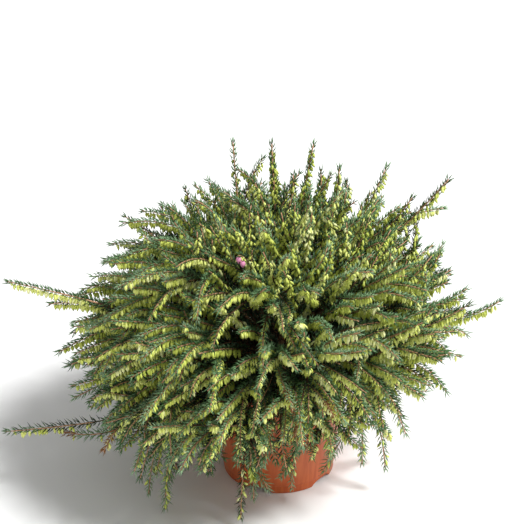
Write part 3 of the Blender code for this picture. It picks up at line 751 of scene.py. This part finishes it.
NEEDLE_RINGS = ((0.35, 0.5),)       # level along the length, and radius against the width
NEEDLE_BOW = 1.0                    # a needle's tip bows by one width
BUD_RINGS = ((0.20, 0.40), (0.60, 0.50))
needle_shape, needle_faces = spindle(3, NEEDLE_RINGS, NEEDLE_BOW)
bud_shape, bud_faces = spindle(4, BUD_RINGS, 0.0)
print("faces: needle", len(needle_faces), "bud", len(bud_faces))

# %% [markdown]
# Needles run from deep green at the crown's middle, which is painted shade, to a paler grey
# blue-green at the tips out at its surface, which is painted light, and the buds from olive to a
# pale yellow-green. Such colours have a place on the plant, so they are plain base colours dealt
# out shoot by shoot.

# %% Foliage colours
# The deep tones fall towards the crown's middle as painted shade and the pale ones at the tips as
# painted light; each shoot also takes a tone of its own at random.
needle_tones = [
    surface("needle_deep_green", "#263b20", 0.55, 0.35),
    surface("needle_green", "#476a3b", 0.52, 0.4),
    surface("needle_grey_green", "#6a8f60", 0.50, 0.45),
    surface("needle_waxy_tip", "#8aa97f", 0.48, 0.45),
    surface("needle_dead_brown", "#8a6038", 0.75, 0.2),
]
bud_tones = [
    surface("bud_olive", "#acb84c", 0.48, 0.4),
    surface("bud_yellow_green", "#ccd665", 0.46, 0.4),
    surface("bud_pale_green", "#e2e984", 0.44, 0.45),
    surface("bud_lit_cream_green", "#f0f3ae", 0.44, 0.45),
]
twig_tones = [
    surface("twig_old_brown", "#5d4330", 0.8, 0.25),
    surface("twig_young_tan", "#b98d6b", 0.6, 0.35),
]

# %% [markdown]
# A shoot carries whorls of four needles on its outer part, and buds hang below it there. Needles
# and buds are worked out as rows of arrays: where each sits, which way it points, how long and wide
# it is and which tone it takes. Those that would reach into the pot or the ground are left out.
# Neighbouring shoots aren't tested against each other, so some of their needles cross.

# %% Dress each shoot
WHORL = 4                           # needles in a whorl
NEEDLE_STEP = 3.3 * MM              # between whorls on a shoot of full thickness
STEP_STRAY = 0.6                    # how far a needle strays along its shoot, in millimetres
TURN_STRAY = 0.25                   # and round it, in radians
NEEDLE_LENGTH = 10.5 * MM
NEEDLE_WIDTH = 1.35 * MM
NEEDLE_ROOT = 0.4                   # how far from the twig's middle it starts, in millimetres
NEEDLE_RISE = 0.12                  # how much a needle turns up
TUFT_FROM, TUFT_LEAN = 0.93, 1.5    # from this share on, needles close up round the tip
DRAWN_UP = 0.42                     # how far a whorl draws up on to the back where buds hang
NEEDLES_BY_BUDS = 0.74              # how long needles are there, against the others
BUDDED = 0.6                        # a shoot with fewer buds than this keeps its whorls as they are
BUD_STEP = 1.8 * MM
BUD_LENGTH = 8.4 * MM
BUD_WIDTH = 2.8 * MM
BUD_ROOT = 0.8                      # how far from the twig's middle it starts, in millimetres
BARE_TIP = 5.0 * MM                 # no bud starts closer to the tip
SIZE_SPREAD = (0.82, 1.12)
LEAFY = 100.0 * MM                  # the leafy length, where the shoot is long enough
LEAFY_MOST = 0.86                   # and the most it may be, as a share of the shoot
BUDS_FROM = 0.22                    # where buds start, as a share of the leafy length
LOWEST = 2.0 * MM                   # no needle or bud reaches lower
DEAD_TONE, DEAD_FROM = 4, 0.75      # a dead shoot is brown from this share on


def clear_of_pot(points):
    """True for points that are above the ground and outside the pot."""
    radius = np.hypot(points[:, 0], points[:, 1])
    in_pot = (radius < POT_RIM_R + POT_CLEAR) & (points[:, 2] < POT_HEIGHT + POT_CLEAR)
    return ~in_pot & (points[:, 2] > LOWEST)


def radial_at(side, up, angle):
    """side cos a + up sin a."""
    return side * np.cos(angle)[:, None] + up * np.sin(angle)[:, None]


def needles_of(shoot, rng):
    """Whorls of four, each turned by an eighth of a turn from the last.

    A needle points along radius + lean * tangent + a little of straight up, and strays. Its lean is
    0.62 + 0.25 share, or TUFT_LEAN at the tip. Where buds hang on a level shoot, the angle from the
    back shrinks. Its length falls by 0.30 share ^ 4 and starts at 0.6 of the whole. Its tone climbs
    by 1.6 share from the shoot's own, which paints shade at the inner end and light at the tip, and
    stays the darkest on inner shoots as painted shade of the crown's middle.
    """
    leafy = min(LEAFY, LEAFY_MOST * shoot.length)
    begin = shoot.length - leafy
    rows = np.arange(begin, shoot.length, NEEDLE_STEP / (0.55 + 0.45 * shoot.thickness))
    stray = rng.uniform(-STEP_STRAY, STEP_STRAY, WHORL * len(rows)) * MM
    lengths = np.repeat(rows, WHORL) + stray
    share = np.clip((lengths - begin) / leafy, 0.0, 1.0)
    point, tangent = shoot.at(lengths)
    side, up = sides_of(tangent)
    whorl = np.repeat(np.arange(len(rows)), WHORL)
    angle = np.tile(np.arange(WHORL), len(rows)) * math.pi / 2 + whorl * math.pi / 4
    angle = angle + rng.uniform(-TURN_STRAY, TURN_STRAY, len(angle))
    from_back = (angle - math.pi / 2 + math.pi) % math.tau - math.pi
    budded = (share > BUDS_FROM) & (share < TUFT_FROM) & (shoot.buds > BUDDED)
    level = np.clip((0.85 - np.abs(tangent[:, 2])) / 0.3, 0.0, 1.0)
    angle = math.pi / 2 + from_back * np.where(budded, 1.0 - DRAWN_UP * level, 1.0)
    radial = radial_at(side, up, angle)
    lean = np.where(share > TUFT_FROM, TUFT_LEAN, 0.62 + 0.25 * share)
    along = unit(radial + tangent * lean[:, None] + UP * NEEDLE_RISE)
    along = unit(along + rng.normal(0.0, 0.15, along.shape))
    across = unit(tangent - along * np.sum(tangent * along, 1, keepdims=True))
    size = NEEDLE_LENGTH * (0.4 + 0.6 * shoot.thickness) * (1.0 - 0.30 * share ** 4)
    size = size * rng.uniform(*SIZE_SPREAD, len(share)) * np.clip(0.6 + 2.0 * share, 0.0, 1.0)
    size = size * np.where(budded, NEEDLES_BY_BUDS, 1.0)
    at = point + radial * NEEDLE_ROOT * MM
    keep = clear_of_pot(at + along * size[:, None]) & clear_of_pot(at)
    # The tone climbs along the shoot: painted shade at its inner end, painted light at its tip.
    climb = np.round(share * 1.6 - 0.6 + rng.uniform(-0.5, 0.5, len(share)))
    tone = np.clip(shoot.tone + climb, 0, 3)
    # Inner shoots take the darkest tone: painted shade of the crown's middle.
    if shoot.kind == "inner":
        tone = np.zeros_like(tone)
    if shoot.dead:
        tone = np.where(share > DEAD_FROM, DEAD_TONE, tone)
    return [v[keep] for v in (at, along, across, size, np.full(len(size), NEEDLE_WIDTH), tone)]


def buds_of(shoot, rng):
    """A fringe below: a bud points along 0.45 of its radius and 0.85 of straight down, and strays.

    It spreads by 0.75 radians to each side of the lowest line, and by more the steeper the shoot.
    """
    leafy = min(LEAFY, LEAFY_MOST * shoot.length)
    begin = shoot.length - leafy * (1.0 - BUDS_FROM)
    lengths = np.arange(begin, shoot.length - BARE_TIP, BUD_STEP)
    lengths = lengths[rng.uniform(0.0, 1.0, len(lengths)) < shoot.buds]
    share = (lengths - begin) / (shoot.length - begin)
    point, tangent = shoot.at(lengths)
    side, up = sides_of(tangent)
    steep = np.clip((np.abs(tangent[:, 2]) - 0.45) / 0.4, 0.0, 1.0)
    spread = 0.75 + 2.3 * steep
    angle = -math.pi / 2 + rng.uniform(-1.0, 1.0, len(lengths)) * spread
    radial = radial_at(side, up, angle)
    along = unit(radial * 0.45 - UP * 0.85 + rng.normal(0.0, 0.20, radial.shape))
    across = unit(np.cross(along, side + 0.01))
    size = BUD_LENGTH * (1.0 - 0.25 * share ** 2) * rng.uniform(*SIZE_SPREAD, len(share))
    at = point + radial * BUD_ROOT * MM
    keep = clear_of_pot(at + along * size[:, None]) & clear_of_pot(at)
    tone = np.clip(np.round(shoot.bud_tone + rng.uniform(-0.8, 0.8, len(share))), 0, 3)
    width = BUD_WIDTH * rng.uniform(0.85, 1.1, len(share))
    return [v[keep] for v in (at, along, across, size, width, tone)]


TWIG_RINGS, TWIG_SIDES, TWIG_ROUGH = 12, 4, 0.08
TWIG_R_LEADER, TWIG_R_OTHER, TWIG_R_TIP = 1.15, 0.85, 0.60      # millimetres
YOUNG_AFTER = 5                     # the rings after this one are young wood


def twig_of(shoot, rng):
    """A tapered tube from the shoot's start to its tip, and a tone for each of its faces."""
    lengths = np.linspace(0.0, shoot.length, TWIG_RINGS)
    point, _ = shoot.at(lengths)
    thick = TWIG_R_LEADER if shoot.kind in ("leader", "long") else TWIG_R_OTHER
    radius = np.linspace(thick, TWIG_R_TIP, TWIG_RINGS) * MM * (0.6 + 0.4 * shoot.thickness)
    verts, tris = tube(point, radius, TWIG_SIDES, TWIG_ROUGH, rng)
    ring = np.minimum(tris[:, 0] // TWIG_SIDES, TWIG_RINGS - 1)
    return verts, tris, (ring > YOUNG_AFTER).astype(int)


# %% [markdown]
# Each shoot gets its own seeded tone and number of buds: many above, fewer on the low shoots and
# none on the inner ones. The shoots are gathered in groups of masses, so that each joined piece
# stays under 200,000 triangles.

# %% Gather the shoots
FIRST_SEED = 1000
DEAD_SHARE = 0.025
LOW_BY = 15.0 * MM                  # a shoot is low where it ends this far below the head
BUD_TONES = (0.3, 2.6)
LOW_BUDS = (0.1, 0.35, 0.8)         # the shares of the places for buds that low shoots fill
THIN, THIN_BUDS = 0.8, 0.25         # a long shoot thinner than this has few buds


def group_of(mass):
    """The top and upper rings are one group. Each lower ring is two: masses 1 to 4, and 5 to 8."""
    if mass.ring in ("top", "upper"):
        return "top"
    half = "a" if mass.name[-1] in "1234" else "b"
    return f"{mass.ring}_{half}"


made = {}
for k, shoot in enumerate(shoots):
    rng = np.random.default_rng(FIRST_SEED + k)
    low = shoot.ends[2][2] < HEAD.z - LOW_BY
    shoot.tone = int(rng.integers(0, 3))
    shoot.bud_tone = rng.uniform(*BUD_TONES)
    shoot.buds = 1.0 if not low else rng.choice(LOW_BUDS)
    if shoot.kind == "inner":
        shoot.buds = 0.0
    if shoot.kind == "long" and shoot.thickness < THIN:
        shoot.buds = THIN_BUDS
    shoot.dead = rng.uniform() < DEAD_SHARE
    kinds = made.setdefault(group_of(shoot.mass), {"needles": [], "buds": [], "twigs": []})
    kinds["needles"].append(needles_of(shoot, rng))
    kinds["buds"].append(buds_of(shoot, rng))
    kinds["twigs"].append(twig_of(shoot, rng))
print("groups:", sorted(made))

# %% [markdown]
# Needles, buds and twigs are joined, each kind apart, into one piece for each group. The needles'
# piece stands for the group's solids.

# %% Join the foliage
def nodes_of(group):
    """The solids that a group's pieces stand for."""
    return [f"foliage_{mass.name}" for mass in masses if group_of(mass) == group]


total = 0
for group, kinds in sorted(made.items()):
    for kind, shape, flat, tones in (("needles", needle_shape, needle_faces, needle_tones),
                                     ("buds", bud_shape, bud_faces, bud_tones)):
        at, along, across, size, width, tone = [
            np.concatenate(column) for column in zip(*kinds[kind])]
        verts, tris = scatter(shape, flat, at, along, across, size, width)
        piece = mesh_piece(f"{kind}_{group}", verts, tris, tones, np.repeat(tone, len(flat)))
        dress(piece, "foliage", *(nodes_of(group) if kind == "needles" else ()))
        total += len(tris)
    verts, tris = joined([(v, f) for v, f, _ in kinds["twigs"]])
    shades = np.concatenate([s for _, _, s in kinds["twigs"]])
    dress(mesh_piece(f"twigs_{group}", verts, tris, twig_tones, shades), "bark")
    total += len(tris)
print("foliage triangles:", total)

# %% [markdown]
# Two bells have opened early at the end of one shoot near the top. A bell is an urn of 6 mm: its
# radius swells, narrows at the mouth and flares a little at its lip. Each is a grid of rings that
# Solidify gives a thin wall. Its upper end is still open, where it should close on to a stalk.

# %% Bells
BELL_NEAR = Vector((-51.0, -72.0, 272.0)) * MM
BELL_LENGTH = 6.2 * MM
BELL_R = 1.9 * MM
BELL_WALL = 0.15 * MM
BELL_RINGS, BELL_SIDES = 14, 16
BELL_HANGS = ((0.0, 0.0, -1.0), (3.6, -1.5, -4.5))      # millimetres from the host's tip
LIP_FROM, LIP_FLARE = 0.85, 0.9

petal = surface("heath_petal_pink", "#dd8fb4", 0.5, 0.35)
host = min((s for s in shoots if s.kind != "inner"),
           key=lambda s: (Vector(s.ends[2]) - BELL_NEAR).length)
level = np.linspace(0.0, 1.0, BELL_RINGS)[:, None]
turn = np.arange(BELL_SIDES) * math.tau / BELL_SIDES
# Radius over BELL_R: 0.25 + sin(pi (1.05 level + 0.05)) ^ 0.7, and then the lip is added.
swell = BELL_R * (0.25 + np.sin(math.pi * np.minimum(level * 1.05 + 0.05, 1.0)) ** 0.7)
swell = np.where(level > LIP_FROM, swell + BELL_R * LIP_FLARE * (level - LIP_FROM), swell)
swell = swell + 0.0 * turn
bells = []
for shift in BELL_HANGS:
    centre = np.array(host.ends[2]) + np.array(shift) * MM
    cup = np.stack((swell * np.cos(turn), swell * np.sin(turn),
                    -BELL_LENGTH * level + 0.0 * turn), -1) + centre
    index = np.arange(BELL_RINGS * BELL_SIDES).reshape(BELL_RINGS, BELL_SIDES)
    low, high = index[:-1], index[1:]
    quads = np.stack((low, high, np.roll(high, -1, 1), np.roll(low, -1, 1)), -1)
    bells.append((cup.reshape(-1, 3), quads.reshape(-1, 4)))
verts, quads = joined(bells)
flower = mesh_piece("bells", verts, quads, (petal,))
thin = flower.modifiers.new("wall", "SOLIDIFY")
thin.thickness = BELL_WALL
dress(flower, "foliage")
